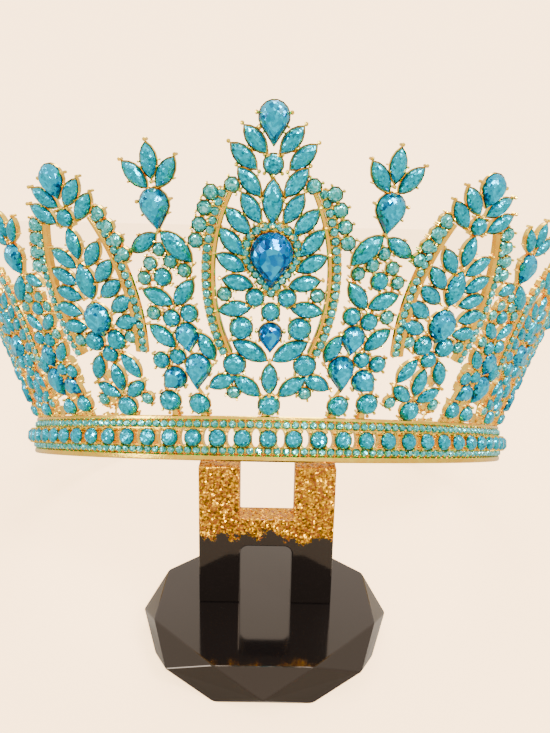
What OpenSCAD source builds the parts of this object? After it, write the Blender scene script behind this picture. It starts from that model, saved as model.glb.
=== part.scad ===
/* [Band] */
// Inner diameter of the head band
band_d = 155; // [146:1:164]
// Height of the band
band_h = 11; // [9:0.5:14]
// Radial thickness of the pierced strip between the rails
strip_t = 1.7; // [1.2:0.1:2.4]
// Radial thickness of the top and bottom rails
rail_t = 2.5; // [2.5:0.1:3.6]
// Height of the top and bottom rails
rail_h = 1.6; // [1.2:0.1:2]
// Angle from the front to each rear end of the band
arc_end = 137; // [126:1:142]
// Number of upright slots cut through the band
slots = 62; // [40:2:66]
// Width of one slot
slot_w = 2; // [1.4:0.1:2.6]
// Height of one slot
slot_h = 4.2; // [3:0.1:5]

/* [Panels] */
// Sloping height of the centre panel
centre_h = 71.5; // [60:0.5:78]
// Sloping height of the first fleurs beside it
fleur_h = 64.5; // [54:0.5:70]
// Sloping height of the first arches
arch_h = 63.5; // [54:0.5:70]
// Sloping height of the second fleurs
fleur_2_h = 57; // [48:0.5:62]
// Sloping height of the second arches
arch_2_h = 53.5; // [44:0.5:58]
// Sloping height of the third fleurs
fleur_3_h = 48.5; // [42:0.5:54]
// Sloping height of the first low rear panels
rear_h = 39; // [32:0.5:45]
// Sloping height that each further rear panel loses
rear_drop = 3.5; // [2:0.5:5]
// Thickness of the cast metal of the panels
plate_t = 1.4; // [1:0.1:2]
// Width of metal round each stone
rim = 0.5; // [0.3:0.1:0.7]
// Lean of the centre panel and first arches from upright
lean_front = 31.5; // [24:0.5:36]
// Lean of the rear panels
lean_rear = 20; // [14:1:26]

/* [Stones] */
// Height of a cut stone as a share of its width
stone_rise = 0.42; // [0.3:0.02:0.55]
// Width of a stone's flat table as a share of its outline
table_share = 0.55; // [0.4:0.05:0.7]
// Share of its seat that a stone fills
stone_fill = 0.94; // [0.85:0.01:0.95]
// Gap between a stone's back and the metal behind it
seat_gap = 0.15; // [0.1:0.05:0.25]

/* [Stand] */
// Number of sides of the stand's base
base_sides = 8; // [8:4:16]
// Width across the top corners of the stand's base
base_d = 58; // [50:0.5:66]
// How far the base's waist stands out past its top corners
base_waist = 2.6; // [1:0.1:4]
// Height of the base
base_h = 9.3; // [7:0.1:12]
// Width of the upright plate
plate_w = 33.5; // [28:0.5:39]
// Height of the upright plate
plate_h = 37; // [31:0.5:43]
// Thickness of the upright plate
plate_y = 6.9; // [5:0.1:9]
// Width of the notch at the top of the plate
notch_w = 13.5; // [9:0.5:17]
// Depth of that notch
notch_h = 13.8; // [9:0.1:15]
// Width of the window at the foot of the plate
window_w = 13; // [8:0.1:16]
// Height of that window
window_h = 15.9; // [10:0.1:17]
// Radius of the window's upper corners
window_r = 2.1; // [1:0.1:3]

/* [Hidden] */
$fn = 48;

gold = [0.86, 0.64, 0.24];
aqua = [0.16, 0.66, 0.77];
deep_blue = [0.08, 0.42, 0.75];
resin = [0.05, 0.04, 0.04];
glitter = [0.55, 0.36, 0.08];

// Gap left between pieces that meet
gap = 0.15;
band_r = band_d / 2;
// How far out on the top rail the panels' fronts stand, as a share of its thickness
front_share = 0.6;
panel_r = band_r + rail_t * front_share;
panel_z = band_h + gap;
// Angle that one panel takes on the band, whose width the patterns are drawn in
panel_angle = 13.1;
cell = 2 * panel_r * sin(panel_angle / 2);
// Width of a panel's foot, in hundredths of a cell, and the height of its straight part
foot_w = 86;
foot_h = 1.2;

// Kinds of stone: ROUND and SMALL are round, and SMALL ones are the pale ones
ROUND = 0;
SMALL = 1;
MARQUISE = 2;
PEAR = 3;

// Columns of the stone tables. X, L and W are hundredths of a cell, S is
// hundredths of the panel's height, and TURN is the long axis in degrees, which
// for a pear is where its point aims
X = 0;
S = 1;
L = 2;
W = 3;
TURN = 4;
KIND = 5;

centre_axis = [
  [0, 4.2, 28, 28, 0, ROUND],
  [0, 14, 42, 20, 90, MARQUISE],
  [0, 28.8, 39, 28.5, -90, PEAR],
  [0, 37.6, 22, 22, 0, ROUND],
  [0, 54.2, 67, 50, -90, PEAR],
  [0, 71.8, 49, 23, 90, MARQUISE],
  [0, 82.3, 22, 22, 0, ROUND],
  [0, 93.2, 46, 32.5, -90, PEAR]
];
centre_pairs = [
  [47, 8.9, 17, 17, 0, SMALL],
  [29.5, 11.3, 42, 20.5, 39, MARQUISE],
  [61.5, 12.9, 37, 20, -26, MARQUISE],
  [45.5, 19.2, 28, 28, 0, ROUND],
  [25.5, 24.1, 49, 23, 31, MARQUISE],
  [37, 32, 28, 28, 0, ROUND],
  [45, 38.4, 39, 19, -7, MARQUISE],
  [20, 42.2, 22, 22, 0, ROUND],
  [57.5, 43.2, 17, 17, 0, SMALL],
  [41, 47, 37, 19, 12, MARQUISE],
  [49, 53.3, 38, 19, 28, MARQUISE],
  [48.5, 59.7, 40, 19, 49, MARQUISE],
  [40.5, 65.9, 39, 18.5, 46, MARQUISE],
  [25, 69.8, 39, 18.5, 57, MARQUISE],
  [47, 76.3, 17, 17, 0, SMALL],
  [27, 77.3, 39, 18.5, 51, MARQUISE],
  [33.5, 84.3, 38, 18.5, 43, MARQUISE],
  [20.5, 88.9, 36, 18, 49, MARQUISE],
  [72, 74.1, 17, 17, 0, SMALL],
  [79.5, 69.6, 17, 17, 0, SMALL],
  [86, 64.7, 17, 17, 0, SMALL],
  [91, 59.9, 17, 17, 0, SMALL]
];
arch_axis = [
  [0, 4.4, 29, 29, 0, ROUND],
  [0, 16.9, 40, 21, 90, MARQUISE],
  [0, 27, 23, 23, 0, ROUND],
  [0, 41.1, 46, 39, -90, PEAR],
  [0, 56.3, 47, 27, 90, MARQUISE],
  [0, 70.6, 38, 20, 90, MARQUISE],
  [0, 80, 22, 22, 0, ROUND],
  [0, 92.8, 41, 32, -90, PEAR]
];
arch_pairs = [
  [38, 7.4, 17, 17, 0, SMALL],
  [23, 11.5, 38, 19, 31, MARQUISE],
  [28, 21.5, 39, 20, -62, MARQUISE],
  [18.5, 32.7, 27, 27, 0, ROUND],
  [43, 33.4, 17, 17, 0, SMALL],
  [44, 39.3, 38, 19, 9, MARQUISE],
  [44, 46.4, 39, 19, 24, MARQUISE],
  [35, 52.5, 40, 19, 24, MARQUISE],
  [33, 59.2, 40, 19, 36, MARQUISE],
  [23.5, 65.9, 39, 19, 43, MARQUISE],
  [32.5, 82.6, 40, 19, 41, MARQUISE],
  [21, 88, 40, 19, 42, MARQUISE],
  [52.5, 79.5, 17, 17, 0, SMALL],
  [59.5, 74.6, 17, 17, 0, SMALL],
  [66.5, 69.6, 17, 17, 0, SMALL],
  [71.5, 64.4, 17, 17, 0, SMALL]
];
fleur_row = [
  [-23, 6.1, 29, 29, 0, ROUND],
  [19, 4.8, 28, 28, 0, ROUND],
  [-12.5, 15.1, 37, 30, -143, PEAR],
  [23.5, 17.8, 50, 34, -100, PEAR],
  [-25.5, 22.6, 22, 22, 0, ROUND],
  [-1.5, 24, 21, 21, 0, ROUND],
  [41, 27.6, 38, 20, -68, MARQUISE],
  [16, 31.2, 39, 30, -90, PEAR],
  [-17.5, 32.2, 41, 21, -45, MARQUISE],
  [-25, 41, 18, 18, 0, SMALL],
  [-1.5, 38.8, 22, 22, 0, ROUND],
  [23.5, 40.4, 22, 22, 0, ROUND],
  [-15.5, 46.9, 41, 20.5, -29, MARQUISE],
  [20.5, 48, 41, 20, 49, MARQUISE],
  [-4.5, 54, 22, 22, 0, ROUND],
  [-29.5, 54, 17, 17, 0, SMALL],
  [26, 56, 17, 17, 0, SMALL],
  [-18.5, 59, 17, 17, 0, SMALL],
  [9, 59.4, 17, 17, 0, SMALL],
  [-3.5, 63.8, 16, 16, 0, SMALL],
  [-22.5, 66.4, 39, 19, 29, MARQUISE],
  [20, 64.4, 50, 24, -49, MARQUISE],
  [0, 77.4, 49, 36, -90, PEAR],
  [-19, 89.2, 40, 19, -51, MARQUISE],
  [20.5, 89, 40, 19, 51, MARQUISE],
  [1.5, 93.2, 39, 19.5, 90, MARQUISE]
];
rear_axis = [
  [0, 10, 26, 26, 0, ROUND],
  [0, 36, 24, 24, 0, ROUND],
  [0, 57, 17, 17, 0, SMALL],
  [0, 81, 46, 33, -90, PEAR]
];
rear_pairs = [
  [30, 12, 17, 17, 0, SMALL],
  [26, 34, 46, 22, 42, MARQUISE],
  [18, 60, 24, 24, 0, ROUND]
];

// Gaps pierced through a panel: the same columns, each a pointed slot
centre_gaps = [
  [16.5, 4.6, 16, 8, 60, 0],
  [62, 4.4, 24, 8, 0, 0],
  [26, 17.9, 16, 7, 30, 0],
  [57, 27, 30, 7, 75, 0],
  [66, 50, 30, 6, 92, 0],
  [60, 66, 36, 8, 118, 0]
];
arch_gaps = [
  [20, 4.6, 16, 6, 60, 0],
  [47, 15.5, 30, 8, 80, 0],
  [54, 58, 32, 6, 100, 0],
  [30, 73, 26, 8, 120, 0]
];
fleur_gaps = [
  [-2, 5, 14, 7, 90, 0],
  [2.5, 46.5, 12, 5, 80, 0]
];
rear_gaps = [
  [15, 24, 22, 7, 60, 0],
  [10, 48, 16, 6, 90, 0]
];

// Arch strips: columns are the bow of the strip's centre line beyond its foot, the
// radius, both hundredths of a cell, the height of its widest place, and its lower
// and upper ends, hundredths of the panel's height
OUT = 0;
RADIUS = 1;
WAIST = 2;
LOW = 3;
HIGH = 4;
centre_arch = [77, 251, 48.4, 22.8, 75];
side_arch = [62.5, 286, 48.8, 27, 79.5];
arch_strip = 18;
// Height between the levels at which a panel's edge is worked out
level = 1.3;

// How many cells high each pattern is drawn, which sets the size of its stones
centre_cells = 3.97;
arch_cells = 3.51;
fleur_cells = 3.57;
rear_cells = 2.1;

// Panel places on one side: angle from the front and lean
AZ = 0;
LEAN = 1;
lean_drop = lean_front - lean_rear;
fleur_1_at = [14.5, lean_front - lean_drop * 0.27];
arch_1_at = [26.4, lean_front];
fleur_2_at = [40, lean_front - lean_drop * 0.21];
arch_2_at = [53.7, lean_front - lean_drop * 0.42];
fleur_3_at = [68.2, lean_front - lean_drop * 0.46];
rear_from = 82;
rear_step = 13.6;
rear_count = 4;

// The tilt that lays the band's front on the stand and its rear ends on the table
prong_x = plate_w / 2;
rest_z = base_h + plate_h + gap;
rest_y = sqrt(band_r * band_r - prong_x * prong_x);
rear_y = -(band_r + rail_t) * cos(arc_end);
tilt = asin(rest_z / (rest_y + rear_y));
// How far the base's front and the crown's rear ends reach from the stand's middle
reach_front = base_d / 2 + base_waist;
reach_rear = (rest_y + rear_y) * cos(tilt) + band_h * sin(tilt);
middle_y = (reach_rear - reach_front) / 2;

function mirrored(rows) = [for (r = rows) [-r[X], r[S], r[L], r[W], 180 - r[TURN], r[KIND]]];
function both(axis, pairs) = concat(axis, pairs, mirrored(pairs));
// A pattern that isn't symmetric, drawn as it is for way -1 and mirrored for way 1
function facing(rows, way) = way > 0 ? mirrored(rows) : rows;
function of_kind(rows, kinds) = [for (r = rows) if (len([for (k = kinds) if (k == r[KIND]) k]) > 0) r];

// One stone's outline, as points round its middle along its own long axis
function lens(l, w, n) =
  let (r = (l * l + w * w) / (4 * w), a = asin(l / 2 / r))
  concat(
    [for (i = [0:n - 1]) let (t = a - 2 * a * i / n) [r * sin(t), r * cos(t) - r + w / 2]],
    [for (i = [0:n - 1]) let (t = -a + 2 * a * i / n) [r * sin(t), -r * cos(t) + r - w / 2]]
  );
function drop_shape(l, w, n) =
  let (r = w / 2, c = -l / 2 + r, a = acos(r / (l - r)))
  concat([[l / 2, 0]], [for (i = [0:n]) let (t = a + (360 - 2 * a) * i / n) [c + r * cos(t), r * sin(t)]]);
function disc(d, n) = [for (i = [0:n - 1]) let (t = 360 * (i + 0.5) / n) [d / 2 * cos(t), d / 2 * sin(t)]];
function outline(kind, l, w, fine = 1) =
  kind == MARQUISE ? lens(l, w, 5 * fine)
  : kind == PEAR ? drop_shape(l, w, 8 * fine)
  : disc(l, 8 + 4 * (fine - 1));
function turned(points, a) =
  [for (p = points) [p[0] * cos(a) - p[1] * sin(a), p[0] * sin(a) + p[1] * cos(a)]];
function moved(points, x, y) = [for (p = points) [p[0] + x, p[1] + y]];

// Where a row of a table lies in a panel of height h, with sizes that follow the
// smaller of its width and its height
function unit(h, cells) = min(cell, h / cells) / 100;
function wide(h, cells) = cell * min(1, sqrt(h / cells / cell)) / 100;
function row_outline(r, h, cells, grow, share) =
  let (u = unit(h, cells), long = r[KIND] == MARQUISE ? 2 : 1)
  moved(turned(outline(r[KIND], r[L] * u * share + 2 * grow * long, r[W] * u * share + 2 * grow), r[TURN]),
    r[X] * wide(h, cells), r[S] * h / 100);

// One cut stone: a flat back, slanting facets and a flat table
module stone(points, middle, rise) {
  n = len(points);
  top = [for (p = points) [for (i = [0, 1]) middle[i] + (p[i] - middle[i]) * table_share]];
  polyhedron(
    points = concat([for (p = points) [p[0], p[1], 0]], [for (p = top) [p[0], p[1], rise]]),
    faces = concat(
      [[for (i = [0:n - 1]) i]],
      [[for (i = [n - 1:-1:0]) n + i]],
      [for (i = [0:n - 1]) [i, n + i, n + (i + 1) % n, (i + 1) % n]]
    )
  );
}

module stones(rows, h, cells) {
  for (r = rows)
    stone(row_outline(r, h, cells, 0, stone_fill), [r[X] * wide(h, cells), r[S] * h / 100],
      stone_rise * r[W] * unit(h, cells));
}

// A strip that follows one side of an arch, and the same on the other side
function arch_side(a, h, cells) =
  let (u = wide(h, cells),
    r = a[RADIUS] * u,
    half = arch_strip * u / 2,
    c = [a[OUT] * u - r, a[WAIST] * h / 100],
    low = asin((a[LOW] * h / 100 - c[1]) / r),
    high = asin((a[HIGH] * h / 100 - c[1]) / r),
    outer = [for (i = [0:8]) let (t = low + (high - low) * i / 8) c + (r + half) * [cos(t), sin(t)]])
  concat(outer, [for (i = [8:-1:0]) [-outer[i][0], outer[i][1]]]);

// Where the level s crosses an outline
function crossings(points, s) = [
  for (i = [0:len(points) - 1])
    let (p = points[i], q = points[(i + 1) % len(points)])
    if ((p[1] <= s) != (q[1] <= s)) p[0] + (q[0] - p[0]) * (s - p[1]) / (q[1] - p[1])
];
// The outer edge of a panel, level by level, from all the outlines that it holds
function edge(shapes, top, steps) =
  let (levels = [for (i = [0:steps - 1]) top * i / (steps - 0.5)],
    spans = [
      for (s = levels)
        let (x = [for (points = shapes) each crossings(points, s)])
        if (len(x) > 0) [min(x), max(x), s]
    ])
  concat(
    [for (e = spans) [e[1], e[2]]],
    [for (i = [len(spans) - 1:-1:0]) [spans[i][0], spans[i][2]]]
  );

// The pierced metal of one panel, flat, with its foot on the band
module metal(rows, gaps, h, cells, arch = []) {
  u = wide(h, cells);
  foot = foot_w * cell / 200;
  bar = [[-foot, -foot_h], [foot, -foot_h], [foot, foot_h], [-foot, foot_h]];
  side = len(arch) > 0 ? [arch_side(arch, h, cells)] : [];
  shapes = concat([bar], side, [for (r = rows) row_outline(r, h, cells, rim, 1)]);
  top = max([for (points = shapes) max([for (p = points) p[1]])]);
  translate([0, 0, -seat_gap - plate_t])
    linear_extrude(plate_t)
      difference() {
        polygon(edge(shapes, top, round(top / level)));
        for (r = gaps)
          translate([r[X] * u, r[S] * h / 100])
            rotate(r[TURN])
              polygon(lens(r[L] * unit(h, cells), r[W] * unit(h, cells), 4));
      }
}

// Puts a flat panel on the band: az is its angle from the front, positive to the right
module on_band(az, lean) {
  rotate([0, 0, az])
    translate([0, -panel_r, panel_z])
      rotate([90 + lean, 0, 0])
        children();
}

// Puts the whole crown on the stand, its front on the prongs
module worn() {
  translate([0, -middle_y, rest_z])
    rotate([-tilt, 0, 0])
      translate([0, rest_y, 0])
        children();
}

module band_profile() {
  translate([band_r, 0]) square([rail_t, rail_h]);
  translate([band_r, band_h - rail_h]) square([rail_t, rail_h]);
  translate([band_r + (rail_t - strip_t) / 2, rail_h / 2]) square([strip_t, band_h - rail_h]);
}

module band_slot() {
  translate([0, -band_r + rail_t, 0])
    rotate([90, 0, 0])
      linear_extrude(2 * rail_t)
        polygon(lens(slot_h, slot_w, 3) * [[0, 1], [-1, 0]]);
}

module band() color(gold) worn() {
  step = 2 * arc_end / (slots + 1);
  difference() {
    rotate([0, 0, -90 - arc_end])
      rotate_extrude(angle = 2 * arc_end)
        band_profile();
    for (i = [1:slots])
      rotate([0, 0, -arc_end + i * step])
        translate([0, 0, band_h / 2]) band_slot();
  }
}

centre_rows = both(centre_axis, centre_pairs);
arch_rows = both(arch_axis, arch_pairs);
rear_rows = both(rear_axis, rear_pairs);
all_centre_gaps = concat(centre_gaps, mirrored(centre_gaps));
all_arch_gaps = concat(arch_gaps, mirrored(arch_gaps));
all_rear_gaps = concat(rear_gaps, mirrored(rear_gaps));

module centre_panel() color(gold) worn()
  on_band(0, lean_front) metal(centre_rows, all_centre_gaps, centre_h, centre_cells, centre_arch);

module centre_stones(kind) worn()
  on_band(0, lean_front) stones(of_kind(centre_rows, [kind]), centre_h, centre_cells);

module centre_pears() color(deep_blue) centre_stones(PEAR);
module centre_marquises() color(aqua) centre_stones(MARQUISE);
module centre_rounds() color(aqua) centre_stones(ROUND);

// side is -1 on the left and 1 on the right, seen from the front, and flip is -1 on a
// fleur that faces the other way than the first one
module fleur(at, h, side, flip) color(gold) worn()
  on_band(side * at[AZ], at[LEAN])
    metal(facing(fleur_row, side * flip), facing(fleur_gaps, side * flip), h, fleur_cells);

module fleur_stones(at, h, side, flip) color(aqua) worn()
  on_band(side * at[AZ], at[LEAN])
    stones(of_kind(facing(fleur_row, side * flip), [MARQUISE, PEAR]), h, fleur_cells);

module arch(at, h, side) color(gold) worn()
  on_band(side * at[AZ], at[LEAN])
    metal(arch_rows, all_arch_gaps, h, arch_cells, side_arch);

module arch_stones(at, h, side) color(aqua) worn()
  on_band(side * at[AZ], at[LEAN])
    stones(of_kind(arch_rows, [MARQUISE, PEAR]), h, arch_cells);

module rear(i, side) color(gold) worn()
  on_band(side * (rear_from + rear_step * i), lean_rear)
    metal(rear_rows, all_rear_gaps, rear_h - rear_drop * i, rear_cells);

module rear_stones(side) color(aqua) worn()
  for (i = [0:rear_count - 1])
    on_band(side * (rear_from + rear_step * i), lean_rear)
      stones(of_kind(rear_rows, [MARQUISE, PEAR]), rear_h - rear_drop * i, rear_cells);

// One ring of the base's corners, turned by a share of its step
function corners(d, z, turn) =
  [for (i = [0:base_sides - 1]) let (t = 360 / base_sides * (i + turn)) [d / 2 * cos(t), d / 2 * sin(t), z]];

module stand_base() color(resin) {
  waist_d = base_d + 2 * base_waist;
  n = base_sides;
  around = [0:n - 1];
  translate([0, -middle_y, 0]) polyhedron(
    points = concat(corners(base_d, 0, 0.5), corners(waist_d, base_h / 2, 0), corners(base_d, base_h, 0.5)),
    faces = concat(
      [[for (i = around) i]],
      [[for (i = around) 3 * n - 1 - i]],
      [for (i = around) [i, n + (i + 1) % n, (i + 1) % n]],
      [for (i = around) [i, n + i, n + (i + 1) % n]],
      [for (i = around) [2 * n + i, 2 * n + (i + 1) % n, n + (i + 1) % n]],
      [for (i = around) [2 * n + i, n + (i + 1) % n, n + i]]
    )
  );
}

module stand_plate() color(glitter)
  translate([0, plate_y / 2 - middle_y, base_h])
    rotate([90, 0, 0])
      linear_extrude(plate_y)
        difference() {
          translate([-plate_w / 2, 0]) square([plate_w, plate_h]);
          translate([-notch_w / 2, plate_h - notch_h]) square([notch_w, notch_h + 1]);
          translate([-window_w / 2, -1]) square([window_w, window_h + 1 - window_r]);
          translate([-window_w / 2 + window_r, -1]) square([window_w - 2 * window_r, window_h + 1]);
          for (side = [-1, 1])
            translate([side * (window_w / 2 - window_r), window_h - window_r]) circle(window_r);
        }

band();
centre_panel();
centre_pears();
centre_marquises();
centre_rounds();
fleur(fleur_1_at, fleur_h, -1, 1);  // fleur_1_left
fleur(fleur_1_at, fleur_h, 1, 1);  // fleur_1_right
fleur(fleur_2_at, fleur_2_h, -1, -1);  // fleur_2_left
fleur(fleur_2_at, fleur_2_h, 1, -1);  // fleur_2_right
fleur(fleur_3_at, fleur_3_h, -1, 1);  // fleur_3_left
fleur(fleur_3_at, fleur_3_h, 1, 1);  // fleur_3_right
arch(arch_1_at, arch_h, -1);  // arch_1_left
arch(arch_1_at, arch_h, 1);  // arch_1_right
arch(arch_2_at, arch_2_h, -1);  // arch_2_left
arch(arch_2_at, arch_2_h, 1);  // arch_2_right
rear(0, -1);  // rear_1_left
rear(0, 1);  // rear_1_right
rear(1, -1);  // rear_2_left
rear(1, 1);  // rear_2_right
rear(2, -1);  // rear_3_left
rear(2, 1);  // rear_3_right
rear(3, -1);  // rear_4_left
rear(3, 1);  // rear_4_right
fleur_stones(fleur_1_at, fleur_h, -1, 1);  // fleur_1_left_stones
fleur_stones(fleur_1_at, fleur_h, 1, 1);  // fleur_1_right_stones
fleur_stones(fleur_2_at, fleur_2_h, -1, -1);  // fleur_2_left_stones
fleur_stones(fleur_2_at, fleur_2_h, 1, -1);  // fleur_2_right_stones
fleur_stones(fleur_3_at, fleur_3_h, -1, 1);  // fleur_3_left_stones
fleur_stones(fleur_3_at, fleur_3_h, 1, 1);  // fleur_3_right_stones
arch_stones(arch_1_at, arch_h, -1);  // arch_1_left_stones
arch_stones(arch_1_at, arch_h, 1);  // arch_1_right_stones
arch_stones(arch_2_at, arch_2_h, -1);  // arch_2_left_stones
arch_stones(arch_2_at, arch_2_h, 1);  // arch_2_right_stones
rear_stones(-1);  // rear_left_stones
rear_stones(1);  // rear_right_stones
stand_base();
stand_plate();
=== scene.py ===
"""A pageant crown on its stand: cut stones in pronged cups, a pierced band and a cast resin stand."""

import math
import random
from collections import namedtuple

import bmesh
import bpy
from bpy.props import FloatProperty, FloatVectorProperty, IntProperty, PointerProperty
from mathutils import Matrix, Vector


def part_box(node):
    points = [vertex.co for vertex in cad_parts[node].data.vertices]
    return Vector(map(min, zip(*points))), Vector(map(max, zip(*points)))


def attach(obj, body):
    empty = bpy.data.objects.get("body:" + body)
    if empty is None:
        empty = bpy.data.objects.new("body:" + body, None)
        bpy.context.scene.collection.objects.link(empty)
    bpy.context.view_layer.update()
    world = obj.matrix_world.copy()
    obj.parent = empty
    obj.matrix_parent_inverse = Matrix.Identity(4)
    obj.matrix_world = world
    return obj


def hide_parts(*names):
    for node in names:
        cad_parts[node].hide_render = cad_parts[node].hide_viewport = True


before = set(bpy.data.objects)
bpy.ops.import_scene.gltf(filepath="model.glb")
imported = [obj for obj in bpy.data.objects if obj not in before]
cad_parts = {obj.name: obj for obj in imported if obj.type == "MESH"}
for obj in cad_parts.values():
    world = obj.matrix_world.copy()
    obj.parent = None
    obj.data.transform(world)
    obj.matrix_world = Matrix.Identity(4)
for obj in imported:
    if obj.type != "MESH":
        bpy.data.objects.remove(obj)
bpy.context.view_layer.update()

bl_info = {
    "name": "Pageant Crown on Stand",
    "version": (1, 0, 0),
    "blender": (4, 5, 0),
    "location": "View3D > Sidebar > Crown",
    "description": "Dresses a pageant crown with cut stones, cups, prongs and rails, and its resin stand",
    "category": "Object",
}

PLATE_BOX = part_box("stand_plate")

ROUND, SMALL, MARQUISE, PEAR = "round", "small", "marquise", "pear"

# Every pattern row is x, s, length, width, turn, kind. x, length and width are
# hundredths of a cell, s is hundredths of the panel's height, and turn is the long
# axis in degrees, which for a pear is where its point aims.
CENTRE_AXIS = [
    (0, 4.2, 28, 28, 0, ROUND),
    (0, 14, 42, 20, 90, MARQUISE),
    (0, 28.8, 39, 28.5, -90, PEAR),
    (0, 37.6, 22, 22, 0, ROUND),
    (0, 54.2, 67, 50, -90, PEAR),
    (0, 71.8, 49, 23, 90, MARQUISE),
    (0, 82.3, 22, 22, 0, ROUND),
    (0, 93.2, 46, 32.5, -90, PEAR),
]
CENTRE_PAIRS = [
    (47, 8.9, 17, 17, 0, SMALL),
    (29.5, 11.3, 42, 20.5, 39, MARQUISE),
    (61.5, 12.9, 37, 20, -26, MARQUISE),
    (45.5, 19.2, 28, 28, 0, ROUND),
    (25.5, 24.1, 49, 23, 31, MARQUISE),
    (37, 32, 28, 28, 0, ROUND),
    (45, 38.4, 39, 19, -7, MARQUISE),
    (20, 42.2, 22, 22, 0, ROUND),
    (57.5, 43.2, 17, 17, 0, SMALL),
    (41, 47, 37, 19, 12, MARQUISE),
    (49, 53.3, 38, 19, 28, MARQUISE),
    (48.5, 59.7, 40, 19, 49, MARQUISE),
    (40.5, 65.9, 39, 18.5, 46, MARQUISE),
    (25, 69.8, 39, 18.5, 57, MARQUISE),
    (47, 76.3, 17, 17, 0, SMALL),
    (27, 77.3, 39, 18.5, 51, MARQUISE),
    (33.5, 84.3, 38, 18.5, 43, MARQUISE),
    (20.5, 88.9, 36, 18, 49, MARQUISE),
    (72, 74.1, 17, 17, 0, SMALL),
    (79.5, 69.6, 17, 17, 0, SMALL),
    (86, 64.7, 17, 17, 0, SMALL),
    (91, 59.9, 17, 17, 0, SMALL),
]
ARCH_AXIS = [
    (0, 4.4, 29, 29, 0, ROUND),
    (0, 16.9, 40, 21, 90, MARQUISE),
    (0, 27, 23, 23, 0, ROUND),
    (0, 41.1, 46, 39, -90, PEAR),
    (0, 56.3, 47, 27, 90, MARQUISE),
    (0, 70.6, 38, 20, 90, MARQUISE),
    (0, 80, 22, 22, 0, ROUND),
    (0, 92.8, 41, 32, -90, PEAR),
]
ARCH_PAIRS = [
    (38, 7.4, 17, 17, 0, SMALL),
    (23, 11.5, 38, 19, 31, MARQUISE),
    (28, 21.5, 39, 20, -62, MARQUISE),
    (18.5, 32.7, 27, 27, 0, ROUND),
    (43, 33.4, 17, 17, 0, SMALL),
    (44, 39.3, 38, 19, 9, MARQUISE),
    (44, 46.4, 39, 19, 24, MARQUISE),
    (35, 52.5, 40, 19, 24, MARQUISE),
    (33, 59.2, 40, 19, 36, MARQUISE),
    (23.5, 65.9, 39, 19, 43, MARQUISE),
    (32.5, 82.6, 40, 19, 41, MARQUISE),
    (21, 88, 40, 19, 42, MARQUISE),
    (52.5, 79.5, 17, 17, 0, SMALL),
    (59.5, 74.6, 17, 17, 0, SMALL),
    (66.5, 69.6, 17, 17, 0, SMALL),
    (71.5, 64.4, 17, 17, 0, SMALL),
]
FLEUR_ROWS = [
    (-23, 6.1, 29, 29, 0, ROUND),
    (19, 4.8, 28, 28, 0, ROUND),
    (-12.5, 15.1, 37, 30, -143, PEAR),
    (23.5, 17.8, 50, 34, -100, PEAR),
    (-25.5, 22.6, 22, 22, 0, ROUND),
    (-1.5, 24, 21, 21, 0, ROUND),
    (41, 27.6, 38, 20, -68, MARQUISE),
    (16, 31.2, 39, 30, -90, PEAR),
    (-17.5, 32.2, 41, 21, -45, MARQUISE),
    (-25, 41, 18, 18, 0, SMALL),
    (-1.5, 38.8, 22, 22, 0, ROUND),
    (23.5, 40.4, 22, 22, 0, ROUND),
    (-15.5, 46.9, 41, 20.5, -29, MARQUISE),
    (20.5, 48, 41, 20, 49, MARQUISE),
    (-4.5, 54, 22, 22, 0, ROUND),
    (-29.5, 54, 17, 17, 0, SMALL),
    (26, 56, 17, 17, 0, SMALL),
    (-18.5, 59, 17, 17, 0, SMALL),
    (9, 59.4, 17, 17, 0, SMALL),
    (-3.5, 63.8, 16, 16, 0, SMALL),
    (-22.5, 66.4, 39, 19, 29, MARQUISE),
    (20, 64.4, 50, 24, -49, MARQUISE),
    (0, 77.4, 49, 36, -90, PEAR),
    (-19, 89.2, 40, 19, -51, MARQUISE),
    (20.5, 89, 40, 19, 51, MARQUISE),
    (1.5, 93.2, 39, 19.5, 90, MARQUISE),
]
REAR_AXIS = [
    (0, 10, 26, 26, 0, ROUND),
    (0, 36, 24, 24, 0, ROUND),
    (0, 57, 17, 17, 0, SMALL),
    (0, 81, 46, 33, -90, PEAR),
]
REAR_PAIRS = [
    (30, 12, 17, 17, 0, SMALL),
    (26, 34, 46, 22, 42, MARQUISE),
    (18, 60, 24, 24, 0, ROUND),
]

# How many cells high each pattern is charted.
CENTRE_CELLS, ARCH_CELLS, FLEUR_CELLS, REAR_CELLS = 3.97, 3.51, 3.57, 2.1

# An arch's strip: how far its centre line bows out and its radius, in hundredths of
# a cell, and its widest, lowest and highest places, in hundredths of the height.
Arch = namedtuple("Arch", "out radius waist low high")
CENTRE_ARCH = Arch(77, 251, 48.4, 22.8, 75)
SIDE_ARCH = Arch(62.5, 286, 48.8, 27, 79.5)

Stone = namedtuple("Stone", "kind x y length width turn")
Panel = namedtuple("Panel", "name place stones height cells arch")

# How far the arches' small stones lie outside the strip's centre line, and how much
# lower the halo's stones sit than the others.
PAVE_OUT = 0.0006
HALO_DROP = 0.0003

OUTLINE_SIDES = {ROUND: 12, SMALL: 8, MARQUISE: 6, PEAR: 11}

# The clearance between the solid model's pieces.
GAP = 0.00015
# The angle of one panel's cell round the band, and where in the rail panels stand.
CELL_ANGLE = math.radians(13.1)
STAND_SHARE = 0.6

COLOUR, FLOAT, VECTOR = "NodeSocketColor", "NodeSocketFloat", "NodeSocketVector"


def metres(name, description, default):
    """A length property."""
    return FloatProperty(name=name, description=description, default=default, unit="LENGTH")


def degrees(name, description, default):
    """An angle property."""
    return FloatProperty(
        name=name, description=description, default=math.radians(default), subtype="ANGLE")


def colour(name, description, default):
    """A colour property with no alpha."""
    return FloatVectorProperty(
        name=name, description=description, default=default, size=3, min=0, max=1, subtype="COLOR")


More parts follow.
